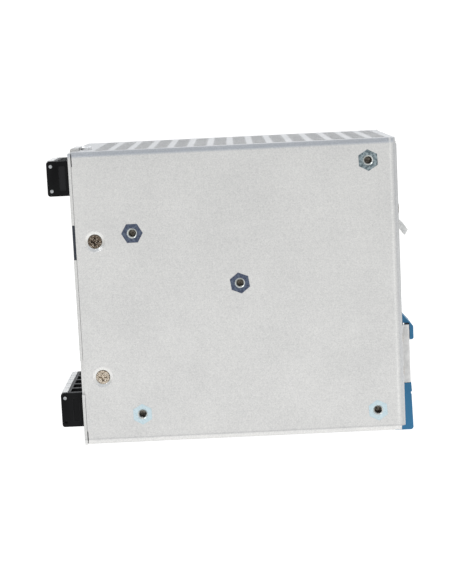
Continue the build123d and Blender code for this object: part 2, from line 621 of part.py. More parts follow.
WINDOW_LOW = STOP_LOW - 0.1
WINDOW_HIGH = -28.0
WINDOW_HALF = 3.2
SLIDER_BACK = 0.3
SLIDER_FACE = 2.9
NOSE_TOP = -16.7
LEG_BACK = BRACKET_FACE + 0.4
LEG_FACE = LEG_BACK + 1.7
HANDLE_TOP = BRACKET_LOW - 0.2
LUG_H = 1.7  # the lug that reaches under the case at the foot
LUG_REACH = 1.8
with BuildPart() as din_latch:
    # slider, nose and outer leg in one side profile
    with BuildSketch(Plane.YZ.offset(-LATCH_HALF)) as profile:
        with BuildLine():
            Polyline(
                (SLIDER_BACK, -RAIL_EDGE - 0.2), (FLANGE_T + 0.15, -RAIL_EDGE - 0.2),
                (FLANGE_T + 0.15, NOSE_TOP), (1.6, NOSE_TOP), (LEG_FACE, -24.2), (LEG_FACE, -30.2),
                (LEG_BACK, -30.2), (LEG_BACK, -22.6), (SLIDER_FACE, -22.6),
                (SLIDER_FACE, HANDLE_TOP - 1),
                (SLIDER_BACK, HANDLE_TOP - 1), close=True,
            )
        make_face()
        leg_tip = profile.vertices().sort_by(Axis.X)[-2:].sort_by(Axis.Y)[0]
        fillet(leg_tip, 1.0)
    extrude(amount=2 * LATCH_HALF)
    block(-WINDOW_HALF, WINDOW_HALF, -1, 3.2, WINDOW_LOW, WINDOW_HIGH, mode=Mode.SUBTRACT)
    # the handle below the bracket, with its foot
    with BuildSketch(Plane.YZ.offset(-BRACKET_HALF)) as handle:
        with BuildLine():
            Polyline(
                (SLIDER_BACK, HANDLE_TOP), (6.0, HANDLE_TOP), (6.2, -52.9), (5.7, -53.5),
                (6.0, -54.6), (6.4, FOOT_LOW), (-LUG_REACH, FOOT_LOW), (-LUG_REACH, FOOT_LOW + LUG_H),
                (SLIDER_BACK, FOOT_LOW + LUG_H), close=True,
            )
        make_face()
        fillet(handle.vertices().group_by(Axis.Y)[0].sort_by(Axis.X)[-1], 1.3)
    extrude(amount=2 * BRACKET_HALF)
    block(-11.5, 11.5, -1, 3.9, -67.6, -51.0, mode=Mode.SUBTRACT)
    for rib_x in (-5.5, 5.5):
        block(rib_x - 0.6, rib_x + 0.6, 0.6, 4.2, -67.8, -50.8)
    # screwdriver slot through the foot
    block(-3.5, 3.5, 1.4, 3.6, FOOT_LOW - 1, -67, mode=Mode.SUBTRACT)
write(din_latch, "din_latch")

SPRING_R = 1.15
SPRING_WIRE = 0.2
SPRING_Y = 1.6
SPRING_TURNS = 11
with BuildPart() as latch_spring:
    spring_low = STOP_HIGH + SPRING_WIRE + 0.05
    spring_height = WINDOW_HIGH - SPRING_WIRE - 0.05 - spring_low
    with BuildLine():
        coil = Helix(spring_height / SPRING_TURNS, spring_height, SPRING_R,
                     center=(0, SPRING_Y, spring_low))
    with BuildSketch(Plane(origin=coil @ 0, z_dir=coil % 0)):
        Circle(SPRING_WIRE)
    sweep(is_frenet=True)
write(latch_spring, "latch_spring")


# ---------------------------------------------------------------- parts on the main board
def ring(y, z, outer, inner, low, height):
    """A toroidal core lying on the board, low above it."""
    with BuildPart() as core:
        with BuildSketch(Plane.YZ.offset(BOARD_FACE - low)):
            with Locations((y, z)):
                Circle(outer)
                Circle(inner, mode=Mode.SUBTRACT)
        extrude(amount=-height)
        fillet(core.edges(), 0.8)
    return core


def turns(y, z, outer, inner, low, height, wire, count, start=0.0, arc=360.0):
    """Separate turns of round wire about a toroidal core."""
    gap = wire + 0.15
    width = outer - inner + 2 * gap
    middle = (outer + inner) / 2
    with BuildPart() as loop:
        with BuildLine(Plane.XZ):
            FilletPolyline(
                (middle - width / 2, -gap), (middle + width / 2, -gap),
                (middle + width / 2, height + gap), (middle - width / 2, height + gap),
                radius=wire + 0.6, close=True,
            )
        with BuildSketch(Plane.YZ.offset(middle)):
            with Locations((0, -gap)):
                Circle(wire)
        sweep()
    with BuildPart() as winding:
        place = Location((BOARD_FACE - low, y, z), (0, -90, 0))
        with Locations(*[place * Rot(0, 0, start + arc * k / count) for k in range(count)]):
            add(loop.part)
    return winding


def radial_cans(places, radius, height):
    """Electrolytic capacitors standing on the board, each with a crimp groove."""
    with BuildPart() as cans:
        with BuildSketch(Plane.YZ.offset(BOARD_FACE)):
            with Locations(*places):
                Circle(radius)
        extrude(amount=-height)
        fillet(cans.faces().sort_by(Axis.X)[:len(places)].edges(), 0.8)
        with BuildSketch(Plane.YZ.offset(BOARD_FACE - 3)):
            with Locations(*places):
                Circle(radius + 1)
                Circle(radius - 0.5, mode=Mode.SUBTRACT)
        extrude(amount=-1.0, mode=Mode.SUBTRACT)
    return cans


# a ceramic tube with two caps, held in two clips
FUSE_PLACE = (-118.5, 45.0)
FUSE_LIFT = 5.0
FUSE_R = 2.6
FUSE_GAP = 14.0  # between the caps
CAP_R = 2.9
CAP_LENGTH = 4.5
CLIP_W = 2.4
with BuildPart() as fuse:
    with Locations((BOARD_FACE - FUSE_LIFT, *FUSE_PLACE)):
        Cylinder(FUSE_R, FUSE_GAP)
        for end in (-1, 1):
            cap_z = end * (FUSE_GAP / 2 + 1.5)
            with Locations((0, 0, cap_z)):
                Cylinder(CAP_R, CAP_LENGTH)
            with Locations((FUSE_LIFT / 2, 0, cap_z)):
                Box(FUSE_LIFT, CLIP_W, 3.0)
write(fuse, "fuse")

# places and sizes on the board: (Y, Z, length along Y, length along Z)
X_CAPACITORS = [(-104.0, 45.0, 12.0, 24.0), (-54.0, 42.0, 12.0, 26.0)]
X_CAPACITOR_H = 22.0
with BuildPart() as x_capacitors:
    with BuildSketch(Plane.YZ.offset(BOARD_FACE)):
        for y, z, length_y, length_z in X_CAPACITORS:
            with Locations((y, z)):
                RectangleRounded(length_y, length_z, 0.6)
    extrude(amount=-X_CAPACITOR_H)
write(x_capacitors, "x_capacitors")

# two disc capacitors standing on their leads
DISC_R = 4.5
DISC_T = 4.0
DISC_LIFT = 6.5
DISC_Z = 20.0
DISC_YS = (-60.0, -53.0)
LEAD_HALF = 0.3
LEAD_SPREAD = 2.5
with BuildPart() as y_capacitors:
    with Locations(*[Location((BOARD_FACE - DISC_LIFT, y, DISC_Z), (90, 0, 0)) for y in DISC_YS]):
        Cylinder(DISC_R, DISC_T)
    fillet(y_capacitors.edges().filter_by(GeomType.CIRCLE), 1.0)
    for y in DISC_YS:
        for z in (DISC_Z - LEAD_SPREAD, DISC_Z + LEAD_SPREAD):
            block(BOARD_FACE - DISC_LIFT + 2.0, BOARD_FACE, y - LEAD_HALF, y + LEAD_HALF,
                  z - LEAD_HALF, z + LEAD_HALF)
write(y_capacitors, "y_capacitors")

# rings: (Y, Z, outer radius, inner radius, lift above the board, height)
EMI_RING = (-80.0, 40.0, 12.5, 7.5, 2.2, 11.0)
write(ring(*EMI_RING), "emi_choke_core")
with BuildPart() as emi_choke_windings:
    for start in (15, 195):
        add(turns(*EMI_RING, 0.6, 11, start=start, arc=165).part)
write(emi_choke_windings, "emi_choke_windings")

PFC_RING = (-29.0, 31.0, 15.5, 8.5, 2.4, 14.0)
write(ring(*PFC_RING), "pfc_choke_core")
write(turns(*PFC_RING, 0.7, 26), "pfc_choke_winding")

BULK_PLACES = [(-107.5, -16.0), (-75.5, -18.0)]
BULK_R = 15.0
BULK_H = 50.0
write(radial_cans(BULK_PLACES, BULK_R, BULK_H), "bulk_capacitors")

OUTPUT_CAN_R = 6.3
OUTPUT_CAN_H = 27.0
OUTPUT_CAN_Z = -53.4
OUTPUT_CAN_PITCH = 13.6
OUTPUT_PLACES = [(-100.0 + OUTPUT_CAN_PITCH * k, OUTPUT_CAN_Z) for k in range(4)]
write(radial_cans(OUTPUT_PLACES, OUTPUT_CAN_R, OUTPUT_CAN_H), "output_capacitors")

OUTPUT_RING = (-27.5, -46.0, 10.0, 5.5, 1.8, 8.0)
with BuildPart() as output_choke:
    add(ring(*OUTPUT_RING).part)
    add(turns(*OUTPUT_RING, 0.5, 18).part)
write(output_choke, "output_choke")


SINK_T = 3.0
SINK_H = 46.0
FIN_COUNT = 7
FIN_PITCH = 5.0
FIN_T = 1.6
FIN_LENGTH = 5.0


def heat_sink(y_low, y_high, z_low, fins_up):
    """A plate standing on the board with a comb of fins on one side."""
    with BuildPart() as sink:
        block(BOARD_FACE - SINK_H, BOARD_FACE, y_low, y_high, z_low, z_low + SINK_T)
        fin_low = z_low + SINK_T if fins_up else z_low - FIN_LENGTH
        for level in range(FIN_COUNT):
            x = BOARD_FACE - SINK_H + level * FIN_PITCH
            block(x, x + FIN_T, y_low, y_high, fin_low, fin_low + FIN_LENGTH)
    return sink


PRIMARY_Z = 6.0
write(heat_sink(-110, -76, PRIMARY_Z, False), "primary_heatsink")
SECONDARY_Z = -42.2
write(heat_sink(-104, -64, SECONDARY_Z, True), "secondary_heatsink")


PACKAGE_T = 4.6
PACKAGE_W = 15.0
PACKAGE_LOW = 6.0
PACKAGE_HIGH = 24.0
LEAD_PITCH = 4.5


def flat_packages(places, z_low):
    """Power packages clamped to a heat sink, with their leads in the board."""
    with BuildPart() as packages:
        for y in places:
            block(BOARD_FACE - PACKAGE_HIGH, BOARD_FACE - PACKAGE_LOW, y - PACKAGE_W / 2,
                  y + PACKAGE_W / 2, z_low, z_low + PACKAGE_T)
            for lead_y in (y - LEAD_PITCH, y, y + LEAD_PITCH):
                block(BOARD_FACE - PACKAGE_LOW, BOARD_FACE, lead_y - 0.5, lead_y + 0.5,
                      z_low + 2.0, z_low + 2.6)
    return packages


write(flat_packages([-85.0], PRIMARY_Z + SINK_T), "bridge_rectifier")
write(flat_packages([-101.5], PRIMARY_Z + SINK_T), "power_transistors")
write(flat_packages([-94.0, -74.0], SECONDARY_Z - PACKAGE_T), "output_rectifiers")

# transformer: two E cores about a wound former
TR_Y = -34.0
TR_Z = -12.0
TR_LENGTH = 44.0
TR_WIDTH = 15.0
TR_HEIGHT = 44.0
LEG = 7.5
POST = 15.0
TR_LIFT = 2.0
TR_X = BOARD_FACE - TR_LIFT - TR_HEIGHT / 2
WINDOW_W = (TR_LENGTH - 2 * LEG - POST) / 2
WINDOW_H = TR_HEIGHT - 2 * LEG
WINDING_PLAY = 0.3
WINDING_BUILD = 6.5
with BuildPart() as transformer_core:
    with BuildSketch(Plane.XY.offset(TR_Z - TR_WIDTH / 2)):
        with Locations((TR_X, TR_Y)):
            Rectangle(TR_HEIGHT, TR_LENGTH)
            with Locations((0, (POST + WINDOW_W) / 2), (0, -(POST + WINDOW_W) / 2)):
                Rectangle(WINDOW_H, WINDOW_W, mode=Mode.SUBTRACT)
    extrude(amount=TR_WIDTH)
write(transformer_core, "transformer_core")

with BuildPart() as transformer_winding:
    coil_h = WINDOW_H - 2 * WINDING_PLAY
    with BuildSketch(Plane.YZ.offset(TR_X - coil_h / 2)):
        with Locations((TR_Y, TR_Z)):
            RectangleRounded(POST + 2 * WINDING_BUILD, TR_WIDTH + 2 * WINDING_BUILD, 5)
            Rectangle(POST + 2 * WINDING_PLAY, TR_WIDTH + 2 * WINDING_PLAY, mode=Mode.SUBTRACT)
    extrude(amount=coil_h)
write(transformer_winding, "transformer_winding")

# a small upright board behind the transformer, with four flat packages
CONTROL_FRONT = -7.6
CONTROL_REAR = -6.2
CHIP_T = 1.6
CHIP_W = 7.0
CHIP_H = 9.0
with BuildPart() as control_board:
    block(2, BOARD_FACE, CONTROL_FRONT, CONTROL_REAR, -34, 6)
    for x in (8.0, 20.0):
        for z in (-28.0, -14.0):
            block(x, x + CHIP_W, CONTROL_REAR, CONTROL_REAR + CHIP_T, z, z + CHIP_H)
write(control_board, "control_board")
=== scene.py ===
import json
import math

import bmesh
import bpy
from mathutils import Matrix, Vector


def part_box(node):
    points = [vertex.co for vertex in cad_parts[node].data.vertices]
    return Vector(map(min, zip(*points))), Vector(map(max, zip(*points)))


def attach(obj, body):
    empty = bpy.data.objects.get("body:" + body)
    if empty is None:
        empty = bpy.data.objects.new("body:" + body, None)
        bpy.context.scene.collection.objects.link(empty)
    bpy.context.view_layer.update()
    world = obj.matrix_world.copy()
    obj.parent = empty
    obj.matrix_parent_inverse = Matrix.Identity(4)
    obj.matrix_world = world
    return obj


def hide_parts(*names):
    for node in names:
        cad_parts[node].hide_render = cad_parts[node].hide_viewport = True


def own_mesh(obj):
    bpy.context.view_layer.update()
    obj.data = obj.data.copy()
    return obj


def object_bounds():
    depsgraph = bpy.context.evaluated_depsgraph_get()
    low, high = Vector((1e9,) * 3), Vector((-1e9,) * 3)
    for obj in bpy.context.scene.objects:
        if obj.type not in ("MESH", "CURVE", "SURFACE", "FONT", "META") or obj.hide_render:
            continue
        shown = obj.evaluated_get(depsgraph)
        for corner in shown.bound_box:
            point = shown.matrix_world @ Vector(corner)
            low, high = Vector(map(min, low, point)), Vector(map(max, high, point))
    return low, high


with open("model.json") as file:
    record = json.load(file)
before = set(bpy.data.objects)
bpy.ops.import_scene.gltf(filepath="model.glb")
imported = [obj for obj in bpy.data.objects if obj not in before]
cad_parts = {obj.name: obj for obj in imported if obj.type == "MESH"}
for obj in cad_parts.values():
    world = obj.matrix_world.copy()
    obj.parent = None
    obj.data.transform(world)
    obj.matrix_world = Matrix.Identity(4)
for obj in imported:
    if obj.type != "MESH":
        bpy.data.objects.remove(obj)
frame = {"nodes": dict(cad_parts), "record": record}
cad_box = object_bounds()

# The looks of a metal-cased rail power supply. Metres, in the frame of its CAD model: +Z up, the
# terminals face -Y, the rail lies against the rear wall at Y = 0, and the right wall faces +X.
MM = 0.001
NODES = frame["nodes"]
CASE_LOW, CASE_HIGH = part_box("chassis_shell")


# ---------------------------------------------------------------- material builder
def add_node(tree, kind, *inputs, **settings):
    """A new shader node. Each input is (socket, value or the output that feeds it)."""
    made = tree.nodes.new("ShaderNode" + kind)
    for name, value in settings.items():
        setattr(made, name, value)
    for socket, value in inputs:
        if isinstance(value, bpy.types.NodeSocket):
            tree.links.new(value, made.inputs[socket])
        else:
            made.inputs[socket].default_value = value
    return made


class Look:
    """A principled material whose node tree is built step by step, in object coordinates."""

    def __init__(self, name, **sockets):
        self.material = bpy.data.materials.new(name)
        self.material.use_nodes = True
        self.tree = self.material.node_tree
        self.shader = self.tree.nodes["Principled BSDF"]
        self.place = self.node("TexCoord").outputs["Object"]
        for socket, value in sockets.items():
            self.shader.inputs[socket.replace("_", " ")].default_value = value

    def node(self, kind, *inputs, **settings):
        """A new node in this material."""
        return add_node(self.tree, kind, *inputs, **settings)

    def set(self, socket, output):
        """Feed a socket of the shader."""
        self.tree.links.new(output, self.shader.inputs[socket])

    def scaled(self, size, stretch=(1.0, 1.0, 1.0)):
        """Object coordinates in units of size millimetres, longer along an axis whose stretch is larger."""
        scale = [1.0 / (size * MM * s) for s in stretch]
        return self.node("Mapping", ("Vector", self.place), ("Scale", scale)).outputs["Vector"]

    def noise(self, size, detail=2.0, stretch=(1.0, 1.0, 1.0), roughness=0.5):
        """Noise with features of about size millimetres."""
        made = self.node("TexNoise", ("Vector", self.scaled(size, stretch)), ("Scale", 1.0),
                         ("Detail", detail), ("Roughness", roughness))
        return made.outputs["Fac"]

    def cells(self, size):
        """A random value for each cell of about size millimetres."""
        made = self.node("TexVoronoi", ("Vector", self.scaled(size)), ("Scale", 1.0))
        return self.node("SeparateColor", ("Color", made.outputs["Color"])).outputs[0]

    def axis(self, index):
        """One object coordinate, in metres."""
        return self.node("SeparateXYZ", ("Vector", self.place)).outputs[index]

    def math(self, operation, a, b=0.0, c=0.0):
        """One arithmetic step on numbers or outputs."""
        return self.node("Math", *enumerate((a, b, c)), operation=operation).outputs[0]

    def span(self, value, low, high, to_low=0.0, to_high=1.0):
        """Map value from low..high to to_low..to_high, clamped."""
        made = self.node("MapRange", ("Value", value), ("From Min", low), ("From Max", high),
                         ("To Min", to_low), ("To Max", to_high))
        return made.outputs["Result"]

    def blend(self, factor, a, b):
        """A colour from a to b by factor."""
        a, b = [(*colour, 1.0) if isinstance(colour, tuple) else colour for colour in (a, b)]
        return self.node("Mix", (0, factor), (6, a), (7, b), data_type="RGBA").outputs[2]

    def edges(self, radius):
        """1 at edges and corners, within about radius millimetres, 0 on flat stretches."""
        rounded = self.node("Bevel", ("Radius", radius * MM), samples=6)
        flat = self.node("NewGeometry")
        dot = self.node("VectorMath", (0, rounded.outputs["Normal"]), (1, flat.outputs["Normal"]),
                        operation="DOT_PRODUCT")
        return self.span(dot.outputs["Value"], 0.985, 0.80)

    def bump(self, height, depth, strength=1.0, soften=0.0):
        """Relief of depth millimetres. soften rounds the shading of edges over that many millimetres."""
        made = self.node("Bump", ("Height", height), ("Distance", depth * MM), ("Strength", strength))
        if soften:
            rounded = self.node("Bevel", ("Radius", soften * MM), samples=4)
            self.tree.links.new(rounded.outputs["Normal"], made.inputs["Normal"])
        self.set("Normal", made.outputs["Normal"])


# ---------------------------------------------------------------- metals
SHEET = 1.5 * MM
BEND_R = 2.3 * MM
DIMPLE_R = 4.5 * MM
DIMPLE_RIM = 0.5 * MM  # the polishing and the painted highlight fade out over this much of a dimple's rim
RECESS_DEPTH = 0.3 * MM
TAB_TOLERANCE = 0.03 * MM
RECESS_TOLERANCE = 0.08 * MM


def solid_centres(mesh):
    """The middle of each separate solid in a node's mesh."""
    loaded = bmesh.new()
    loaded.from_mesh(mesh)
    bmesh.ops.remove_doubles(loaded, verts=loaded.verts, dist=0.0005 * MM)
    unseen = set(loaded.verts)
    centres = []
    while unseen:
        grown = [unseen.pop()]
        points = []
        while grown:
            vert = grown.pop()
            points.append(vert.co.copy())
            linked = {edge.other_vert(vert) for edge in vert.link_edges} & unseen
            unseen -= linked
            grown += linked
        spans = [(min(axis), max(axis)) for axis in zip(*points)]
        centres.append(Vector([(low + high) / 2 for low, high in spans]))
    loaded.free()
    return sorted(centres, key=tuple)


def sheet_aluminium(name="case_aluminium", shaded_tabs=False):
    """Mill-finish sheet: a fine satin grain, faint rolling lines along Y and soft clouds.

    With shaded_tabs, the outer faces of the two upper side tabs are coloured dark slate as painted shade.
    """
    look = Look(name, Metallic=1.0)
    grain = look.noise(0.5, 3.0)
    sparkle = look.cells(0.32)
    rolling = look.noise(0.22, 2.0, (1.0, 60.0, 1.0))
    clouds = look.noise(24.0, 3.0)
    tone = look.math("MULTIPLY_ADD", grain, 0.55, look.math("MULTIPLY", sparkle, 0.20))
    tone = look.math("ADD", tone, look.math("MULTIPLY", rolling, 0.15))
    tone = look.math("ADD", tone, look.math("MULTIPLY", clouds, 0.25))
    grained = look.span(tone, 0.35, 0.80)

    def tinted(*tint):
        """The sheet's two greys, each times a tint."""
        greys = (0.520, 0.518, 0.512), (0.690, 0.685, 0.668)
        return look.blend(grained, *[tuple(c * t for c, t in zip(grey, tint)) for grey in greys])

    def near(axis, face, reach, full):
        """1 within full of a face of the case, fading to 0 at reach."""
        gap = look.math("ABSOLUTE", look.math("SUBTRACT", look.axis(axis), face))
        return look.span(gap, full, reach, 1.0, 0.0)

    # painted shade on the top sheet, then painted shade and painted highlights along each bend of the right
    # wall
    top_sheet_shade = near(2, CASE_HIGH.z, 0.10 * MM, 0.02 * MM)
    right = near(0, CASE_HIGH.x, BEND_R, BEND_R * 0.5)
    top_bend_shade = look.math("MULTIPLY", right, near(2, CASE_HIGH.z, BEND_R * 1.1, BEND_R * 0.6))
    rear_bend_shade = look.math("MULTIPLY", right, near(1, CASE_HIGH.y, BEND_R, BEND_R * 0.55))
    rear_highlight_line = look.math("MULTIPLY", right, near(1, CASE_HIGH.y - BEND_R * 1.25, BEND_R * 0.3, 0.0))
    low_bend_highlight = look.math("MULTIPLY", right, near(2, CASE_LOW.z, BEND_R, BEND_R * 0.8))
    low_shade_line = look.math("MULTIPLY", right, near(2, CASE_LOW.z + BEND_R * 1.1, BEND_R * 0.2, 0.0))
    # painted shade: the top sheet and the top bend are darker and cooler
    colour = look.blend(top_sheet_shade, tinted(1.0, 1.0, 1.0), tinted(0.83, 0.835, 0.85))
    colour = look.blend(top_bend_shade, colour, tinted(0.73, 0.765, 0.825))
    # painted highlight: a bright line before the rear bend; painted shade: the rear bend darker and cooler
    colour = look.blend(rear_highlight_line, colour, tinted(1.12, 1.12, 1.12))
    colour = look.blend(rear_bend_shade, colour, tinted(0.89, 0.905, 0.93))
    # painted shade: a dark line above the bottom bend; painted highlight: the bottom bend brighter
    colour = look.blend(low_shade_line, colour, tinted(0.84, 0.84, 0.85))
    colour = look.blend(low_bend_highlight, colour, tinted(1.16, 1.16, 1.16))

    # the dimples round the tab screws are polished by their punch, so they are less rough; their brighter
    # colour is a painted highlight
    polish_and_highlight = 0.0
    for centre in TAB_SCREWS:
        across, up = [look.math("SUBTRACT", look.axis(axis), centre[axis]) for axis in (1, 2)]
        square = look.math("ADD", look.math("MULTIPLY", across, across), look.math("MULTIPLY", up, up))
        dimple = look.span(look.math("SQRT", square), DIMPLE_R - DIMPLE_RIM, DIMPLE_R, 1.0, 0.0)
        polish_and_highlight = look.math("MAXIMUM", polish_and_highlight, dimple)
    colour = look.blend(polish_and_highlight, colour, tinted(1.09, 1.09, 1.08))
    # painted shade: the recessed outer faces of the upper side tabs are coloured dark slate
    if shaded_tabs:
        outward = look.math("ABSOLUTE", look.axis(0))
        outer = look.math("COMPARE", outward, CASE_HIGH.x - SHEET, TAB_TOLERANCE)
        upper = look.span(look.axis(2), 0.0, 1.0 * MM)
        colour = look.blend(look.math("MULTIPLY", outer, upper), colour, (0.050, 0.056, 0.068))
    look.set("Base Color", colour)
    satin = look.span(tone, 0.35, 0.80, 0.50, 0.36)
    look.set("Roughness", look.math("MULTIPLY", satin, look.span(polish_and_highlight, 0.0, 1.0, 1.0, 0.5)))
    look.bump(look.math("ADD", grain, sparkle), 0.012, 0.5)
    return look.material


def nickel():
    """Warm nickel plate on the countersunk screws, with dark brown patches that spread further higher up.

    The small screw that stands on the top sheet is plain zinc.
    """
    look = Look("nickel_screws", Metallic=1.0)
    mottle = look.noise(0.42, 3.0, roughness=0.6)
    scuffs = look.noise(0.16, 2.0, (1.0, 1.0, 4.0))
    height = look.span(look.axis(2), -0.035, 0.024, -0.01, 0.13)
    brown_patches = look.span(look.math("ADD", mottle, height), 0.47, 0.60)
    fresh = look.blend(look.span(scuffs, 0.35, 0.65), (0.34, 0.27, 0.19), (0.84, 0.76, 0.65))
    plate = look.blend(brown_patches, fresh, (0.085, 0.062, 0.045))
    zinc = look.blend(mottle, (0.66, 0.67, 0.68), (0.88, 0.88, 0.88))
    above_top = look.span(look.axis(2), CASE_HIGH.z - 3.0 * MM, CASE_HIGH.z - 2.9 * MM)
    look.set("Base Color", look.blend(above_top, plate, zinc))
    look.set("Roughness", look.span(brown_patches, 0.0, 1.0, 0.24, 0.45))
    look.bump(look.math("MULTIPLY", mottle, look.math("SUBTRACT", 1.0, above_top)), 0.12, 0.8)
    return look.material


def zinc_standoffs():
    """Zinc plate with a blue passivation: painted shade makes the upper hexagons slate; the lower ones
    are pale cyan.

    The slate is greener towards the rear. The countersunk mouth is bare and bright, and the bore
    below it is painted near black as shade, with a few painted glints.
    """
    look = Look("zinc_standoff", Metallic=1.0)
    mottle = look.noise(1.1, 4.0, roughness=0.6)
    lathe = look.noise(0.10, 1.0, (30.0, 1.0, 1.0))
    upper = look.span(look.axis(2), -0.030, -0.010)
    rear = look.span(look.axis(1), -0.050, -0.030)
    cool = look.blend(look.span(mottle, 0.42, 0.62), (0.060, 0.072, 0.110), (0.115, 0.140, 0.190))
    teal = look.blend(look.span(mottle, 0.42, 0.62), (0.105, 0.135, 0.150), (0.30, 0.36, 0.38))
    slate = look.blend(rear, cool, teal)
    pale = look.blend(look.span(mottle, 0.35, 0.65), (0.44, 0.55, 0.59), (0.55, 0.65, 0.69))
    # painted shade: the upper hexagons are slate, the lower ones pale cyan
    face = look.blend(upper, pale, slate)
    depth = look.math("SUBTRACT", CASE_HIGH.x, look.axis(0))
    mouth = look.blend(mottle, (0.62, 0.64, 0.62), (0.86, 0.88, 0.86))
    # painted shade in the bore below the mouth, near black, with painted glints
    glint = look.span(look.noise(0.7, 2.0), 0.60, 0.66)
    bore = look.blend(glint, (0.010, 0.010, 0.011), (0.62, 0.61, 0.57))
    mouth_and_bore_shade = look.blend(look.span(depth, 0.9 * MM, 1.3 * MM), mouth, bore)
    look.set("Base Color", look.blend(look.span(depth, 0.04 * MM, 0.10 * MM), face, mouth_and_bore_shade))
    look.set("Roughness", look.span(mottle, 0.3, 0.7, 0.24, 0.40))
    look.bump(look.math("ADD", mottle, lathe), 0.015, 0.4)
    return look.material


def plated(name, dark, light, rough, grain=0.8):
    """Zinc-plated or ground steel: mottled plating, fine grain and brighter worn edges."""
    look = Look(name, Metallic=1.0)
    mottle = look.noise(grain * 3, 4.0, roughness=0.6)
    fine = look.noise(grain * 0.3, 2.0)
    plate = look.blend(look.span(mottle, 0.3, 0.7), dark, light)
    bright = tuple(min(1.0, c * 1.15) for c in light)
    look.set("Base Color", look.blend(look.edges(0.25), plate, bright))
    look.set("Roughness", look.span(look.math("ADD", mottle, fine), 0.7, 1.3, rough + 0.10, rough))
    look.bump(fine, 0.01, 0.4)
    return look.material


def extruded_aluminium():
    """Heat sinks: lines along the extrusion and a dull skin."""
    look = Look("heatsink_aluminium", Metallic=1.0)
    lines = look.noise(0.25, 2.0, (1.0, 80.0, 1.0))
    skin = look.noise(6.0, 3.0)
    tone = look.math("MULTIPLY_ADD", lines, 0.6, look.math("MULTIPLY", skin, 0.4))
    look.set("Base Color", look.blend(look.span(tone, 0.3, 0.7), (0.45, 0.46, 0.47), (0.70, 0.71, 0.72)))
    look.set("Roughness", look.span(tone, 0.3, 0.7, 0.55, 0.38))
    look.bump(lines, 0.02, 0.5)
    return look.material


def enamelled_copper():
    """Winding wire under clear enamel, a little darker where the varnish has pooled."""
    look = Look("copper_wire", Metallic=1.0, Coat_Weight=0.6, Coat_Roughness=0.12)
    varnish = look.noise(2.4, 3.0)
    strand = look.noise(0.3, 1.0, (1.0, 1.0, 4.0))
    look.set("Base Color", look.blend(varnish, (0.42, 0.13, 0.035), (0.80, 0.36, 0.13)))
    look.set("Roughness", look.span(strand, 0.3, 0.7, 0.22, 0.36))
    look.bump(strand, 0.02, 0.3)
    return look.material


# ---------------------------------------------------------------- plastics
def moulded(name, base, pale, rough, texture=0.25, gloss=0.5, edge=0.3):
    """Moulded plastic: spark-eroded texture, faint flow marks and edges rubbed paler."""
    look = Look(name, Specular_IOR_Level=gloss)
    skin = look.noise(texture, 3.0)
    flow = look.noise(9.0, 2.0, (1.0, 1.0, 3.0))
    tone = look.math("MULTIPLY_ADD", skin, 0.35, look.math("MULTIPLY", flow, 0.65))
    lighter = tuple(0.7 * b + 0.3 * p for b, p in zip(base, pale))
    body = look.blend(look.span(tone, 0.3, 0.7), base, lighter)
    look.set("Base Color", look.blend(look.math("MULTIPLY", look.edges(edge), 0.7), body, pale))
    look.set("Roughness", look.span(skin, 0.3, 0.7, rough + 0.06, rough - 0.05))
    look.bump(skin, 0.02, 0.5, soften=edge * 0.6)
    return look.material


def end_plate_plastic():
    """The black end plates: the shallow recess in the input block's outer faces is paler."""
    look = Look("end_plate_plastic", Specular_IOR_Level=0.08)
    skin = look.noise(0.25, 3.0)
    flow = look.noise(7.0, 2.0, (1.0, 1.0, 3.0))
    body = look.blend(look.span(flow, 0.3, 0.7), (0.0030, 0.0031, 0.0034), (0.0085, 0.0086, 0.0090))
    low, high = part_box("input_end_plates")
    for face in (low.x, high.x):
        depth = look.math("ABSOLUTE", look.math("SUBTRACT", look.axis(0), face))
        recess = look.math("COMPARE", depth, RECESS_DEPTH, RECESS_TOLERANCE)
        above = look.span(look.axis(2), low.z - 1.0 * MM, low.z)
        body = look.blend(look.math("MULTIPLY", recess, above), body, (0.018, 0.018, 0.019))
    worn = look.math("MULTIPLY", look.edges(0.3), 0.6)
    look.set("Base Color", look.blend(worn, body, (0.036, 0.037, 0.039)))
    look.set("Roughness", look.span(skin, 0.3, 0.7, 0.52, 0.40))
    look.bump(skin, 0.02, 0.5, soften=0.18)
    return look.material


def light_pipe():
    """Clear green moulding with fine swirls."""
    look = Look("light_pipe", Transmission_Weight=0.55, IOR=1.49)
    swirl = look.noise(1.2, 3.0)
    look.set("Base Color", look.blend(swirl, (0.16, 0.62, 0.20), (0.45, 0.90, 0.42)))
    look.set("Roughness", look.span(swirl, 0.3, 0.7, 0.08, 0.20))
    look.bump(swirl, 0.02, 0.3)
    return look.material


def insulation():
    """Milky polyester film, slightly rippled."""
    look = Look("insulation_film", Transmission_Weight=0.25, IOR=1.5)
    ripple = look.noise(14.0, 2.0)
    haze = look.noise(0.6, 2.0)
    look.set("Base Color", look.blend(haze, (0.66, 0.68, 0.62), (0.86, 0.87, 0.82)))
    look.set("Roughness", look.span(haze, 0.3, 0.7, 0.25, 0.40))
    look.bump(ripple, 0.2, 0.4)
    return look.material


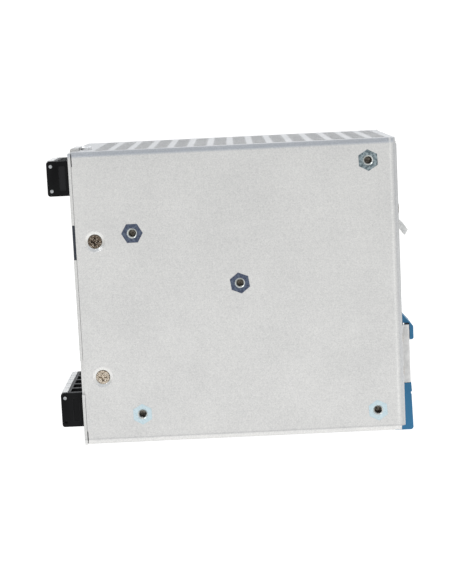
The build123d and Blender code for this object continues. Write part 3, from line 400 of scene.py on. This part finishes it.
# ---------------------------------------------------------------- electronics
def circuit_board():
    """Green solder mask over copper tracks, with a matt weave beneath and tinned pads."""
    look = Look("circuit_board", Specular_IOR_Level=0.5)
    placed = look.scaled(5.5)
    tracks = look.node("TexVoronoi", ("Vector", placed), ("Scale", 1.0),
                       ("Randomness", 0.55), feature="DISTANCE_TO_EDGE", distance="CHEBYCHEV")
    track = look.span(tracks.outputs["Distance"], 0.16, 0.13)
    pads = look.node("TexVoronoi", ("Vector", placed), ("Scale", 1.0), ("Randomness", 0.55))
    pad = look.span(pads.outputs["Distance"], 0.16, 0.13)
    weave = look.noise(0.5, 2.0)
    mask = look.blend(track, (0.010, 0.085, 0.030), (0.022, 0.190, 0.060))
    mask = look.blend(look.math("MULTIPLY", weave, 0.3), mask, (0.008, 0.06, 0.02))
    look.set("Base Color", look.blend(pad, mask, (0.62, 0.62, 0.60)))
    look.set("Metallic", pad)
    look.set("Roughness", look.span(weave, 0.3, 0.7, 0.26, 0.40))
    look.bump(look.math("MAXIMUM", track, pad), 0.04, 0.8)
    return look.material


def sintered(name, dark, light, rough):
    """Ferrite or ceramic: a fine granular surface with a few pits."""
    look = Look(name)
    grain = look.noise(0.35, 4.0, roughness=0.7)
    pits = look.span(look.cells(0.9), 0.04, 0.0)
    tone = look.blend(look.span(grain, 0.3, 0.7), dark, light)
    look.set("Base Color", look.blend(pits, tone, tuple(0.4 * c for c in dark)))
    look.set("Roughness", look.span(grain, 0.3, 0.7, rough + 0.08, rough - 0.06))
    look.bump(look.math("SUBTRACT", grain, pits), 0.03, 0.6)
    return look.material


def capacitor_sleeve():
    """Shrink sleeve on the round capacitors, with a pale polarity stripe and a bare metal top."""
    look = Look("capacitor_sleeve", Coat_Weight=0.3, Coat_Roughness=0.2)
    wrinkle = look.noise(3.0, 3.0, (3.0, 1.0, 1.0))
    normal = look.node("NewGeometry").outputs["True Normal"]
    facing = look.node("SeparateXYZ", ("Vector", normal))
    top = look.span(look.math("MULTIPLY", facing.outputs[0], -1.0), 0.90, 0.95)
    stripe = look.span(facing.outputs[1], 0.90, 0.92)
    sleeve = look.blend(wrinkle, (0.012, 0.012, 0.020), (0.035, 0.035, 0.050))
    sleeve = look.blend(stripe, sleeve, (0.40, 0.42, 0.45))
    look.set("Base Color", look.blend(top, sleeve, (0.60, 0.61, 0.62)))
    look.set("Metallic", top)
    look.set("Roughness", look.span(wrinkle, 0.3, 0.7, 0.30, 0.42))
    look.bump(wrinkle, 0.08, 0.4)
    return look.material


def fuse_body():
    """A sand-coloured ceramic tube between tinned caps."""
    look = Look("fuse_ceramic")
    low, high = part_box("fuse")
    middle = (low.z + high.z) / 2
    cap_reach = 6.2 * MM
    away = look.math("ABSOLUTE", look.math("SUBTRACT", look.axis(2), middle))
    cap = look.span(away, cap_reach, cap_reach + 0.05 * MM)
    speck = look.noise(0.5, 4.0, roughness=0.7)
    tube = look.blend(speck, (0.62, 0.58, 0.48), (0.80, 0.77, 0.68))
    look.set("Base Color", look.blend(cap, tube, (0.66, 0.66, 0.64)))
    look.set("Metallic", cap)
    look.set("Roughness", look.span(speck, 0.3, 0.7, 0.50, 0.32))
    look.bump(speck, 0.02, 0.4)
    return look.material


def marker_plastic():
    """White marker strip, a little greyed by dust."""
    look = Look("marker_white", Specular_IOR_Level=0.4)
    skin = look.noise(0.3, 3.0)
    dust = look.noise(2.5, 4.0, roughness=0.7)
    tone = look.blend(look.span(dust, 0.45, 0.75), (0.80, 0.80, 0.79), (0.62, 0.62, 0.61))
    look.set("Base Color", tone)
    look.set("Roughness", look.span(skin, 0.3, 0.7, 0.55, 0.42))
    look.bump(skin, 0.015, 0.5, soften=0.15)
    return look.material


def printed(name, dark, light, rough):
    """Ink or film with a slightly uneven lay-down."""
    look = Look(name, Specular_IOR_Level=0.4)
    lay = look.noise(0.7, 4.0, roughness=0.65)
    wave = look.noise(18.0, 2.0)
    tone = look.math("MULTIPLY_ADD", lay, 0.6, look.math("MULTIPLY", wave, 0.4))
    look.set("Base Color", look.blend(look.span(tone, 0.35, 0.65), dark, light))
    look.set("Roughness", look.span(lay, 0.3, 0.7, rough + 0.05, rough - 0.05))
    look.bump(wave, 0.05, 0.15)
    return look.material


# the panel screws in the right wall, whose dimples are polished and carry a painted highlight
TAB_SCREWS = [centre for centre in solid_centres(NODES["panel_screws"].data)
              if centre.x > 0.8 * CASE_HIGH.x]
MATERIALS = {
    "case_aluminium": sheet_aluminium(),
    "nickel_screws": nickel(),
    "zinc_standoff": zinc_standoffs(),
    # painted shade: the board screws are near black to dark brown, as their tips are seen deep in the
    # standoffs' bores
    "board_screw": plated("board_screw", (0.004, 0.004, 0.004), (0.22, 0.20, 0.17), 0.30, 0.22),
    "hook_zinc": plated("hook_zinc", (0.50, 0.51, 0.51), (0.70, 0.70, 0.69), 0.38),
    "bracket_zinc": plated("bracket_zinc", (0.54, 0.54, 0.535), (0.68, 0.68, 0.67), 0.42),
    "spring_steel": plated("spring_steel", (0.36, 0.36, 0.36), (0.60, 0.60, 0.59), 0.25, 0.2),
    "rod_steel": plated("rod_steel", (0.26, 0.27, 0.28), (0.46, 0.47, 0.48), 0.30, 0.3),
    "terminal_steel": plated("terminal_steel", (0.48, 0.48, 0.46), (0.72, 0.72, 0.69), 0.26, 0.4),
    "blue_plastic": moulded("blue_plastic", (0.012, 0.135, 0.285), (0.07, 0.30, 0.50),
                            0.42, texture=0.30, gloss=0.40),
    "black_plastic": moulded("black_plastic", (0.0045, 0.0046, 0.0050), (0.036, 0.037, 0.039),
                             0.42, gloss=0.20),
    "marker_white": marker_plastic(),
    "light_pipe": light_pipe(),
    "trimmer_plastic": moulded("trimmer_plastic", (0.03, 0.12, 0.42), (0.12, 0.25, 0.60), 0.40),
    "trimmer_white": moulded("trimmer_white", (0.74, 0.73, 0.69), (0.88, 0.87, 0.84), 0.42, 0.15),
    "insulation_film": insulation(),
    "circuit_board": circuit_board(),
    "ferrite": sintered("ferrite", (0.030, 0.030, 0.033), (0.085, 0.085, 0.090), 0.50),
    "copper_wire": enamelled_copper(),
    "heatsink_aluminium": extruded_aluminium(),
    "component_epoxy": moulded("component_epoxy", (0.012, 0.012, 0.013), (0.06, 0.06, 0.062), 0.55, 0.15),
    "capacitor_sleeve": capacitor_sleeve(),
    "capacitor_box": moulded("capacitor_box", (0.46, 0.36, 0.06), (0.70, 0.60, 0.22), 0.40),
    "disc_ceramic": sintered("disc_ceramic", (0.03, 0.12, 0.36), (0.08, 0.24, 0.55), 0.32),
    "fuse_ceramic": fuse_body(),
}
for subpart in frame["record"]["subparts"]:
    mesh = NODES[subpart["node"]].data
    mesh.materials.clear()
    mesh.materials.append(MATERIALS[subpart["material_slot"]])
NODES["front_panel"].data.materials[0] = sheet_aluminium("panel_aluminium", shaded_tabs=True)
END_PLATE = end_plate_plastic()
for node_name in ("input_end_plates", "output_end_plates"):
    NODES[node_name].data.materials[0] = END_PLATE


# ---------------------------------------------------------------- mesh helpers
def finish_piece(mesh, name, materials, body="supply"):
    """Put a bmesh into the scene as a piece that rides on a body."""
    data = bpy.data.meshes.new(name)
    bmesh.ops.recalc_face_normals(mesh, faces=mesh.faces)
    mesh.to_mesh(data)
    mesh.free()
    for material in materials:
        data.materials.append(material)
    piece = bpy.data.objects.new(name, data)
    bpy.context.scene.collection.objects.link(piece)
    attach(piece, body)
    return piece


def rounded_outline(width, height, radius, steps=6):
    """The corners of a rounded rectangle about the origin, in order."""
    points = []
    for quarter, (sx, sy) in enumerate(((1, 1), (-1, 1), (-1, -1), (1, -1))):
        centre = Vector((sx * (width / 2 - radius), sy * (height / 2 - radius)))
        for step in range(steps + 1):
            angle = math.pi / 2 * (quarter + step / steps)
            points.append(centre + radius * Vector((math.cos(angle), math.sin(angle))))
    return points


def add_prism(mesh, outline, low, high, place, material=0, bevel=0.0):
    """A solid from a flat outline, between two heights along the place's Z. bevel rounds its top rim."""
    rings = [(low, 0.0), (high - bevel, 0.0)]
    if bevel:
        rings += [(high - 0.3 * bevel, 0.3 * bevel), (high, bevel)]
    centre = sum(outline, Vector((0, 0))) / len(outline)
    loops = []
    for height, inset in rings:
        shrunk = [p - (p - centre).normalized() * inset for p in outline]
        loops.append([mesh.verts.new(place @ Vector((p.x, p.y, height))) for p in shrunk])
    faces = [mesh.faces.new(loops[-1]), mesh.faces.new(list(reversed(loops[0])))]
    for lower, upper in zip(loops, loops[1:]):
        for k in range(len(outline)):
            nxt = (k + 1) % len(outline)
            faces.append(mesh.faces.new((lower[k], lower[nxt], upper[nxt], upper[k])))
    for face in faces:
        face.material_index = material


def bar(mesh, centre, size, low, high, place, material=0, turn=0.0):
    """A rectangular printed bar or rule."""
    corner = Vector(size) / 2
    spin = Matrix.Rotation(turn, 2)
    outline = [spin @ Vector((sx * corner.x, sy * corner.y)) + Vector(centre)
               for sx, sy in ((1, 1), (-1, 1), (-1, -1), (1, -1))]
    add_prism(mesh, outline, low, high, place, material)


def facing_front(x, z, y):
    """Local X to the right, local Y up, local Z forward."""
    return Matrix(((1, 0, 0, x), (0, 0, -1, y), (0, 1, 0, z), (0, 0, 0, 1)))


def facing_left(y, z, x):
    """Local X towards the front, local Y up, local Z out of the left cover."""
    return Matrix(((0, 0, -1, x), (-1, 0, 0, y), (0, 1, 0, z), (0, 0, 0, 1)))


# ---------------------------------------------------------------- threads in the standoffs
def add_thread(mesh, axis_point, start, pitch, turns, root, crest, steps=24):
    """A helical ridge inside a bore that runs along -X from axis_point."""
    sections = []
    run_out = steps / 4  # the ridge grows and fades over a quarter turn
    for k in range(round(turns * steps) + 1):
        angle = 2 * math.pi * k / steps
        along = start + pitch * k / steps
        ends = min(1.0, k / run_out, (turns * steps - k) / run_out)
        top = root - (root - crest) * max(ends, 0.05)
        ring = []
        for radius, offset in ((root, -0.36), (top, -0.06), (top, 0.06), (root, 0.36)):
            point = Vector((-along - offset * pitch, radius * math.cos(angle), radius * math.sin(angle)))
            ring.append(mesh.verts.new(axis_point + point))
        sections.append(ring)
    for here, there in zip(sections, sections[1:]):
        for k in range(4):
            nxt = (k + 1) % 4
            mesh.faces.new((here[k], here[nxt], there[nxt], there[k]))
    mesh.faces.new(sections[0])
    mesh.faces.new(list(reversed(sections[-1])))


THREAD_ROOT = 1.66 * MM
THREAD_CREST = 1.42 * MM
THREAD_PITCH = 0.7 * MM
THREAD_START = 0.85 * MM  # below the wall's face
THREAD_TURNS = 1.9
threads = bmesh.new()
for centre in solid_centres(NODES["clinch_standoffs"].data):
    mouth = Vector((CASE_HIGH.x, centre.y, centre.z))
    add_thread(threads, mouth, THREAD_START, THREAD_PITCH, THREAD_TURNS, THREAD_ROOT, THREAD_CREST)
finish_piece(threads, "standoff_threads", [MATERIALS["zinc_standoff"]])

# ---------------------------------------------------------------- latch return spring
SPRING_WIRE_R = 0.2 * MM
SPRING_TURNS = 11
SPRING_STEPS = 26  # rings of wire in one turn
SPRING_SIDES = 10  # corners of a ring
SPRING_CLOSED = 0.6  # how closely the end turns sit together


def coil_spring(low, high):
    """A round-wire compression spring between two corners, its end turns closed up."""
    mesh = bmesh.new()
    centre = (low + high) / 2
    radius = (high.x - low.x) / 2 - SPRING_WIRE_R
    height = high.z - low.z - 2 * SPRING_WIRE_R
    rings = []
    for step in range(SPRING_TURNS * SPRING_STEPS + 1):
        share = step / (SPRING_TURNS * SPRING_STEPS)
        turn = 2 * math.pi * step / SPRING_STEPS
        rise = share - SPRING_CLOSED * math.sin(2 * math.pi * share) / (2 * math.pi)
        outward = Vector((math.cos(turn), math.sin(turn), 0.0))
        middle = Vector((centre.x, centre.y, low.z + SPRING_WIRE_R + height * rise)) + outward * radius
        ring = []
        for side in range(SPRING_SIDES):
            angle = 2 * math.pi * side / SPRING_SIDES
            offset = outward * math.cos(angle) + Vector((0.0, 0.0, math.sin(angle)))
            ring.append(mesh.verts.new(middle + offset * SPRING_WIRE_R))
        rings.append(ring)
    for ring, after in zip(rings, rings[1:]):
        for side in range(SPRING_SIDES):
            other = (side + 1) % SPRING_SIDES
            face = mesh.faces.new((ring[side], ring[other], after[other], after[side]))
            face.smooth = True
    mesh.faces.new(rings[0])
    mesh.faces.new(rings[-1])
    return mesh


spring_low, spring_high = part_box("latch_spring")
spring = finish_piece(coil_spring(spring_low, spring_high), "return_spring",
                      [MATERIALS["spring_steel"]])
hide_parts("latch_spring")
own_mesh(spring)

# ---------------------------------------------------------------- labels and printing
INK_T = 0.02 * MM
FILM_T = 0.15 * MM
FILM_EDGE = 0.05 * MM
INK_TOP = FILM_T + INK_T
label_film = printed("label_film", (0.62, 0.63, 0.64), (0.74, 0.75, 0.75), 0.36)
label_blue = printed("label_blue", (0.018, 0.10, 0.23), (0.03, 0.14, 0.30), 0.40)
label_grey = printed("label_grey", (0.22, 0.23, 0.24), (0.30, 0.31, 0.32), 0.42)
silver_film = printed("silver_film", (0.50, 0.51, 0.52), (0.64, 0.65, 0.66), 0.30)
black_ink = printed("black_ink", (0.012, 0.012, 0.013), (0.030, 0.030, 0.032), 0.40)

panel_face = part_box("front_panel")[0].y
input_low, input_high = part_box("input_end_plates")
output_low, output_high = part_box("output_end_plates")

# the front label: a film with a coloured band, ruled lines and a blank panel, and no lettering
LABEL_W = 62.0 * MM
LABEL_MARGIN = 4.0 * MM
BAND_H = 13.0 * MM
BAND_MARGIN = 2.0 * MM
BLANK_H = 14.0 * MM
BLANK_MARGIN = 3.0 * MM
RULED_LINES = 5
LINE_PITCH = 5.0 * MM
FIRST_LINE = 4.0 * MM  # below the band
RULED_W = LABEL_W - 10 * MM
label_h = input_low.z - output_high.z - 4 * LABEL_MARGIN
label_place = facing_front(0.0, (input_low.z + output_high.z) / 2, panel_face)
label = bmesh.new()
band_y = label_h / 2 - BAND_H / 2 - BAND_MARGIN
blank_y = -label_h / 2 + BLANK_H / 2 + BLANK_MARGIN
band = [p + Vector((0, band_y)) for p in rounded_outline(LABEL_W - 2 * BAND_MARGIN, BAND_H, 1.5 * MM)]
blank = [p + Vector((0, blank_y)) for p in rounded_outline(RULED_W, BLANK_H, 1.2 * MM)]
add_prism(label, rounded_outline(LABEL_W, label_h, 2.5 * MM), 0, FILM_T, label_place, bevel=FILM_EDGE)
add_prism(label, band, FILM_T, INK_TOP, label_place, 1)
for line in range(RULED_LINES):
    line_y = band_y - BAND_H / 2 - FIRST_LINE - LINE_PITCH * line
    bar(label, (0, line_y), (RULED_W, 0.25 * MM), FILM_T, INK_TOP, label_place, 2)
add_prism(label, blank, FILM_T, INK_TOP, label_place, 2)
finish_piece(label, "front_label", [label_film, label_blue, label_grey])

# graduations about the trimmer, over the 270 degrees that it turns
trimmer_low, trimmer_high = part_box("trimmer_rotor")
trimmer_x = (trimmer_low.x + trimmer_high.x) / 2
trimmer_z = (trimmer_low.z + trimmer_high.z) / 2
dial = bmesh.new()
dial_place = facing_front(trimmer_x, trimmer_z, panel_face)
DIAL_R = 3.9 * MM
DIAL_STEPS = 10
for tick in range(DIAL_STEPS + 1):
    angle = math.radians(225 - 270 * tick / DIAL_STEPS)
    length = 1.5 * MM if tick % 5 == 0 else 0.9 * MM
    at = (DIAL_R + length / 2) * Vector((math.cos(angle), math.sin(angle)))
    bar(dial, at, (length, 0.3 * MM), 0, INK_T, dial_place, turn=angle)
finish_piece(dial, "trimmer_graduations", [black_ink])

# a dash beside each terminal on the front panel, and divisions on the white marker strips
MARK_SIZE = (4.0 * MM, 0.6 * MM)
MARK_GAP = 2.4 * MM
marks = bmesh.new()
divisions = bmesh.new()
strip_low, strip_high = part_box("marker_strips")
strip_y = (strip_low.y + strip_high.y) / 2
division_size = (0.35 * MM, strip_high.y - strip_low.y - 0.1 * MM)
lower_strip_top = strip_high.z - (input_high.z - output_high.z)
for name, mark_z, strip_top in (("input", input_low.z - MARK_GAP, strip_high.z),
                                ("output", output_high.z + MARK_GAP, lower_strip_top)):
    poles = sum(node_name.startswith(f"{name}_clamp_screw_") for node_name in NODES)
    first = sum(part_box(f"{name}_clamp_screw_1"), Vector()) / 2
    last = sum(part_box(f"{name}_clamp_screw_{poles}"), Vector()) / 2
    pitch = (last.x - first.x) / (poles - 1)
    for pole in range(poles):
        bar(marks, (first.x + pole * pitch, mark_z), MARK_SIZE, 0, INK_T, facing_front(0, 0, panel_face))
    for joint in range(1, poles):
        bar(divisions, (first.x + (joint - 0.5) * pitch, strip_y), division_size, 0, INK_T,
            Matrix.Translation((0, 0, strip_top)))
finish_piece(marks, "pole_marks", [black_ink])
finish_piece(divisions, "marker_divisions", [label_grey])

# the rating plate on the left cover: a ruled silver film with blank fields
PLATE_W = 78.0 * MM
PLATE_H = 52.0 * MM
PLATE_Y = -68.0 * MM
PLATE_Z = 4.0 * MM
PLATE_MARGIN = 3.0 * MM
RULE = 0.3 * MM
ROWS = 6
HEADER_INSET = 1.6 * MM
cover_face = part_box("left_cover")[0].x
plate_place = facing_left(PLATE_Y, PLATE_Z, cover_face)
rating = bmesh.new()
add_prism(rating, rounded_outline(PLATE_W, PLATE_H, 2.0 * MM), 0, FILM_T, plate_place, bevel=FILM_EDGE)
table_w = PLATE_W - 2 * PLATE_MARGIN
table_h = PLATE_H - 2 * PLATE_MARGIN
row_h = table_h / ROWS
for row in range(ROWS + 1):
    bar(rating, (0, -table_h / 2 + row_h * row), (table_w, RULE), FILM_T, INK_TOP, plate_place, 1)
for column_x in (-table_w / 2, -table_w / 6, table_w / 2):
    bar(rating, (column_x, 0), (RULE, table_h), FILM_T, INK_TOP, plate_place, 1)
bar(rating, (0, (table_h - row_h) / 2), (table_w - HEADER_INSET, row_h - HEADER_INSET),
    FILM_T, INK_TOP, plate_place, 1)
finish_piece(rating, "rating_plate", [silver_film, black_ink])


# ---------------------------------------------------------------- floor, light and camera
def make_floor():
    """A round white sheet that touches the latch's foot and the bottom front edge of the case."""
    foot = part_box("din_latch")[0]
    slope = math.atan2(CASE_LOW.z - foot.z, foot.y - CASE_LOW.y)
    mesh = bmesh.new()
    bmesh.ops.create_circle(mesh, cap_ends=True, segments=96, radius=FLOOR_R)
    data = bpy.data.meshes.new("floor")
    mesh.to_mesh(data)
    mesh.free()
    floor = bpy.data.objects.new("floor", data)
    hinge = Matrix.Translation((0, foot.y, foot.z))
    tilt = Matrix.Rotation(-slope, 4, "X")
    floor.matrix_world = hinge @ tilt @ Matrix.Translation((0, MIDDLE.y - foot.y, 0))
    bpy.context.scene.collection.objects.link(floor)
    look = Look("floor_white", Roughness=0.9, Specular_IOR_Level=0.0)
    look.shader.inputs["Base Color"].default_value = (FLOOR_GREY, FLOOR_GREY, FLOOR_GREY, 1)
    look.shader.inputs["Emission Color"].default_value = (1, 1, 1, 1)
    look.shader.inputs["Emission Strength"].default_value = FLOOR_GLOW
    data.materials.append(look.material)
    return slope


def make_world():
    """A white studio: walls dimmed towards the corners, a cooler band above them and a white ceiling.

    The lens sees plain white behind the object.
    """
    world = bpy.data.worlds.new("studio")
    bpy.context.scene.world = world
    world.use_nodes = True
    tree = world.node_tree
    background = tree.nodes["Background"]

    def calculate(operation, a, b=0.0):
        """One arithmetic step on numbers or outputs."""
        return add_node(tree, "Math", (0, a), (1, b), operation=operation).outputs[0]

    split = add_node(tree, "SeparateXYZ", (0, add_node(tree, "TexCoord").outputs["Generated"]))
    x, y, z = split.outputs
    # 0 along the axes and 0.5 on the diagonals; the offset keeps the divisor above 0 straight up
    level = calculate("SUBTRACT", 1.0001, calculate("MULTIPLY", z, z))
    diagonal = calculate("DIVIDE", calculate("ABSOLUTE", calculate("MULTIPLY", x, y)), level)
    corner = add_node(tree, "MapRange", ("Value", diagonal), ("From Min", CORNER_START),
                      ("From Max", CORNER_END), ("To Max", CORNER_SHADE), interpolation_type="SMOOTHSTEP")
    height = add_node(tree, "MapRange", ("Value", z), ("From Min", -1.0)).outputs[0]
    ramp = add_node(tree, "ValToRGB", ("Fac", height))
    stops = ramp.color_ramp.elements
    for place, _ in WALLS[1:-1]:
        stops.new(place)
    for stop, (place, colour) in zip(stops, WALLS):
        stop.position = place
        stop.color = (*colour, 1)
    black = (0.0, 0.0, 0.0, 1)
    white = (1.0, 1.0, 1.0, 1)
    dimmed = add_node(tree, "Mix", (0, corner.outputs[0]), (6, ramp.outputs["Color"]), (7, black),
                      data_type="RGBA")
    seen = add_node(tree, "Mix", (0, add_node(tree, "LightPath").outputs["Is Camera Ray"]),
                    (6, dimmed.outputs[2]), (7, white), data_type="RGBA")
    tree.links.new(seen.outputs[2], background.inputs["Color"])
    background.inputs["Strength"].default_value = WORLD_STRENGTH


def aimed(place, target):
    """A matrix at place whose -Z looks at target."""
    turn = (place - target).to_track_quat("Z", "Y").to_matrix().to_4x4()
    return Matrix.Translation(place) @ turn


def softbox(name, place, target, width, height, power):
    """A rectangular soft light aimed at a point."""
    light = bpy.data.lights.new(name, "AREA")
    light.shape = "RECTANGLE"
    light.size = width
    light.size_y = height
    light.energy = power
    lamp = bpy.data.objects.new(name, light)
    lamp.matrix_world = aimed(Vector(place), Vector(target))
    bpy.context.scene.collection.objects.link(lamp)


# height, from 0 straight down to 1 straight up, and the colour there
WALLS = [(0.30, (0.94, 0.94, 0.93)), (0.52, (1.0, 1.0, 0.99)), (0.60, (0.74, 0.765, 0.80)),
         (0.75, (0.60, 0.635, 0.69)), (1.0, (1.0, 1.0, 1.0))]
WORLD_STRENGTH = 1.12
CORNER_SHADE = 0.28  # the share of the light that a corner loses
CORNER_START = 0.20  # how near a diagonal the shade begins, and where it is full
CORNER_END = 0.46
FLOOR_GREY = 0.25
FLOOR_GLOW = 0.98
FLOOR_R = 0.45
MIDDLE = (cad_box[0] + cad_box[1]) / 2
lean = make_floor()
make_world()
softbox("key_front", (1.02, -0.66, 0.50), MIDDLE, 0.22, 0.22, 1.0)
softbox("key_rear", (1.02, 0.56, 0.50), MIDDLE, 0.22, 0.22, 1.2)
softbox("fill_front", (-0.10, -1.0, 0.9), MIDDLE, 0.8, 0.6, 5.0)
softbox("fill_rear", (-0.3, 1.0, 0.9), MIDDLE, 0.8, 0.6, 3.0)
softbox("fill_left", (-1.1, 0.1, 0.5), MIDDLE, 0.8, 0.6, 1.0)

# the camera looks straight at the right wall from a little above, rolled level with the floor
CAMERA_PLACE = Vector((0.6894, -0.0691, 0.0911))
LOOK_DOWN = math.radians(7.90)
LOOK_TURN = math.radians(0.30)
LENS = 96.7  # focal length, in millimetres
gaze = Vector((-math.cos(LOOK_DOWN) * math.cos(LOOK_TURN), -math.cos(LOOK_DOWN) * math.sin(LOOK_TURN),
               -math.sin(LOOK_DOWN)))
camera_data = bpy.data.cameras.new("camera")
camera_data.lens = LENS
camera = bpy.data.objects.new("camera", camera_data)
camera.matrix_world = aimed(CAMERA_PLACE, CAMERA_PLACE + gaze) @ Matrix.Rotation(-lean, 4, "Z")
bpy.context.scene.collection.objects.link(camera)
bpy.context.scene.camera = camera
bpy.context.scene.view_settings.view_transform = "Standard"
